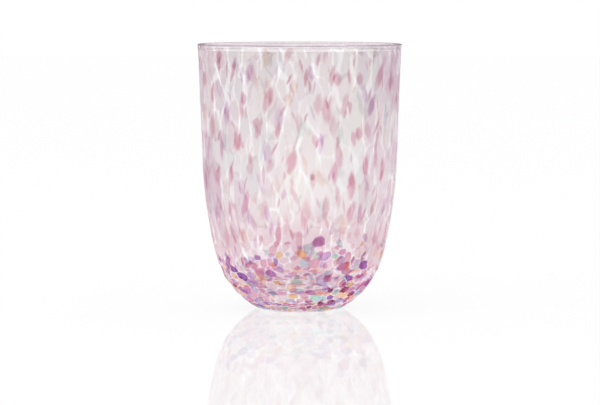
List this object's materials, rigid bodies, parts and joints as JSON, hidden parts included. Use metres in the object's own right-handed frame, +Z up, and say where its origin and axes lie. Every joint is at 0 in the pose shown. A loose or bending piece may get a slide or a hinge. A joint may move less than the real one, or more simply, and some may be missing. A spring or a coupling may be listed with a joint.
{
  "type": "drinking glass",
  "caption": "Hand-blown tumbler with a round bottom and a small ground foot: clear glass with chips of coloured glass melted flush into its outside.",
  "frame": {"origin": "middle of the foot, on the surface that the glass stands on", "axes": "+Z up through the middle of the rim; the glass is round, so +X and +Y are free, and -Y faces the viewer"},
  "size_m": [0.08, 0.08, 0.104],
  "materials": {
    "inner_gather": "clear, fire-polished, with faint waves from blowing; the foot ground flat and polished",
    "outer_gather": "clear, glossy, flush with the chips it runs between",
    "pale_pink_chips": "glossy melted chips of pale pink glass, see-through, paler where they are stretched up the wall",
    "rose_chips": "glossy melted chips of rose glass, see-through, paler where they are stretched up the wall",
    "magenta_chips": "glossy melted chips of magenta glass, see-through, paler where they are stretched up the wall",
    "plum_chips": "glossy melted chips of deep plum glass, see-through, paler where they are stretched up the wall",
    "violet_chips": "glossy melted chips of violet glass, see-through, paler where they are stretched up the wall",
    "lilac_chips": "glossy melted chips of lilac glass, see-through, paler where they are stretched up the wall",
    "peach_chips": "glossy melted chips of peach glass, see-through, paler where they are stretched up the wall",
    "amber_chips": "glossy melted chips of amber glass, see-through, paler where they are stretched up the wall",
    "aqua_chips": "glossy melted chips of aqua glass, see-through, paler where they are stretched up the wall",
    "mint_chips": "glossy melted chips of mint green glass, see-through, paler where they are stretched up the wall"
  },
  "bodies": {
    "root": {"inner_gather": "inner_gather", "outer_gather": "outer_gather", "pale_pink_chips": "pale_pink_chips", "rose_chips": "rose_chips", "magenta_chips": "magenta_chips", "plum_chips": "plum_chips", "violet_chips": "violet_chips", "lilac_chips": "lilac_chips", "peach_chips": "peach_chips", "amber_chips": "amber_chips", "aqua_chips": "aqua_chips", "mint_chips": "mint_chips"}
  },
  "joints": []
}
